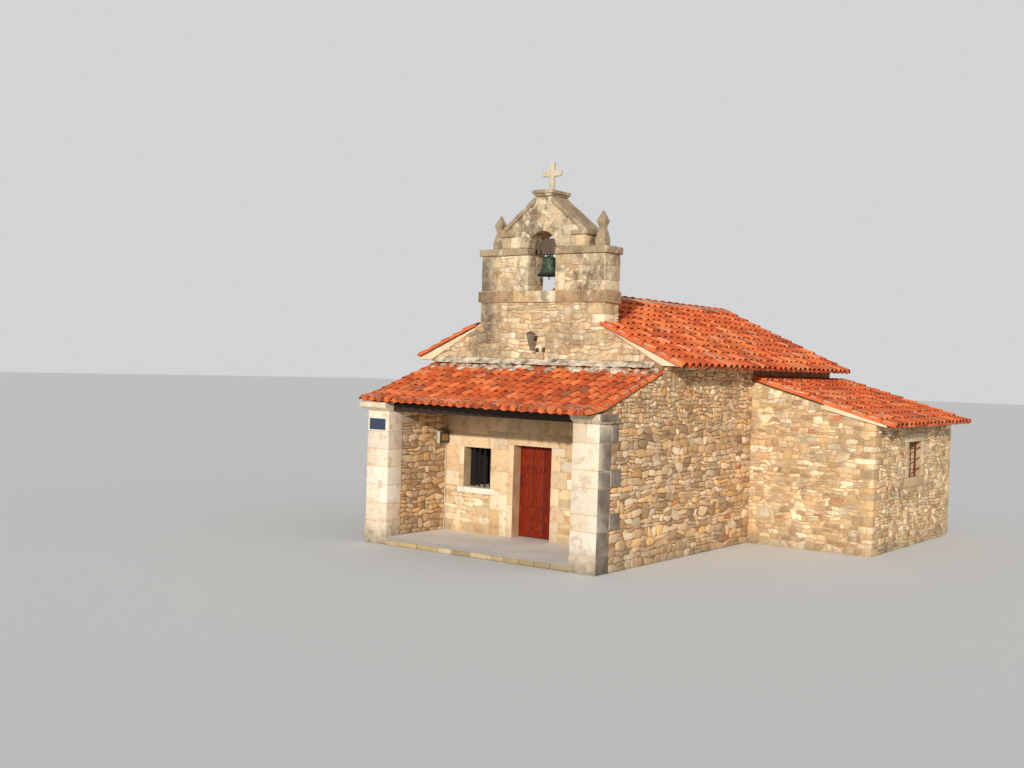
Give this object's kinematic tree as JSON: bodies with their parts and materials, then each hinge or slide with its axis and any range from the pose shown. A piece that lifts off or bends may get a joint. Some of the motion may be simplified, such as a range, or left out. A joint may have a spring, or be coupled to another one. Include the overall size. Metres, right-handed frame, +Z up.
{
  "type": "small chapel",
  "caption": "Small rubble-stone chapel with a tiled open porch, a bell gable with a swinging bell, a plank door that opens inwards and a lean-to sacristy.",
  "frame": {"origin": "centre of the nave floor's underside, at ground level", "axes": "+Z up, +Y from the porch to the rear gable, +X to the right seen from the porch, where the sacristy stands"},
  "size_m": [10.1, 12.885, 8.5498],
  "materials": {
    "rubble_masonry": "coursed rubble in lime mortar",
    "dressed_stone": "dressed ashlar, lightly weathered",
    "lime_plaster": "lime plaster",
    "cement": "grey cement mortar",
    "concrete": "trowelled concrete",
    "roof_tile": "barrel tiles, unglazed",
    "roof_timber": "sawn softwood, aged",
    "door_wood": "stained boards",
    "wrought_iron": "dark forged iron",
    "bell_bronze": "green patina",
    "lamp_metal": "dark weathered paint",
    "box_plastic": "aged plastic housing"
  },
  "bodies": {
    "building": {"facade_under_window": "rubble_masonry", "front_gable_wall": "rubble_masonry", "rear_gable_wall": "rubble_masonry", "nave_side_walls": "rubble_masonry", "porch_walls": "rubble_masonry", "belfry_base": "rubble_masonry", "sacristy_front_wall": "rubble_masonry", "sacristy_rear_wall": "rubble_masonry", "sacristy_return_wall": "rubble_masonry", "sacristy_end_near": "rubble_masonry", "sacristy_end_far": "rubble_masonry", "sacristy_window_apron": "rubble_masonry", "sacristy_end_head": "rubble_masonry", "facade_left": "dressed_stone", "facade_centre": "dressed_stone", "facade_right": "dressed_stone", "facade_head": "dressed_stone", "window_lintel": "dressed_stone", "door_lintel": "dressed_stone", "window_sill": "dressed_stone", "porch_piers": "dressed_stone", "pier_capitals": "dressed_stone", "porch_kerb": "dressed_stone", "string_course": "dressed_stone", "belfry_piers": "dressed_stone", "belfry_imposts": "dressed_stone", "belfry_arch": "dressed_stone", "pediment_copings": "dressed_stone", "cap_slab": "dressed_stone", "cross": "dressed_stone", "pinnacles": "dressed_stone", "verge_bands": "lime_plaster", "roof_flashing": "cement", "porch_floor": "concrete", "nave_floor": "concrete", "porch_roof": "roof_tile", "nave_roof_left": "roof_tile", "nave_roof_right": "roof_tile", "ridge_tiles": "roof_tile", "sacristy_roof": "roof_tile", "porch_beam": "roof_timber", "porch_rafters": "roof_timber", "roof_purlins": "roof_timber", "hinge_pins": "wrought_iron", "bell_bearings": "wrought_iron", "wall_lamp": "lamp_metal", "meter_box": "box_plastic"},
    "bell": {"bell": "bell_bronze", "bell_yoke": "roof_timber", "clapper_staple": "wrought_iron"},
    "clapper": {"clapper": "wrought_iron"},
    "door": {"door_leaf": "door_wood", "door_straps": "wrought_iron", "door_handle": "wrought_iron"}
  },
  "joints": [
    {"name": "bell_swing", "type": "hinge", "parent": "building", "child": "bell", "pos_m": [0, -4.21, 6.55], "axis": [1, 0, 0], "range_deg": [-60, 60]},
    {"name": "clapper_swing", "type": "hinge", "parent": "bell", "child": "clapper", "pos_m": [0, -4.21, 6.37], "axis": [1, 0, 0], "range_deg": [-22, 22]},
    {"name": "door_hinge", "type": "hinge", "parent": "building", "child": "door", "pos_m": [0.706, -4.491, 0], "axis": [0, 0, -1], "range_deg": [0, 95]}
  ]
}
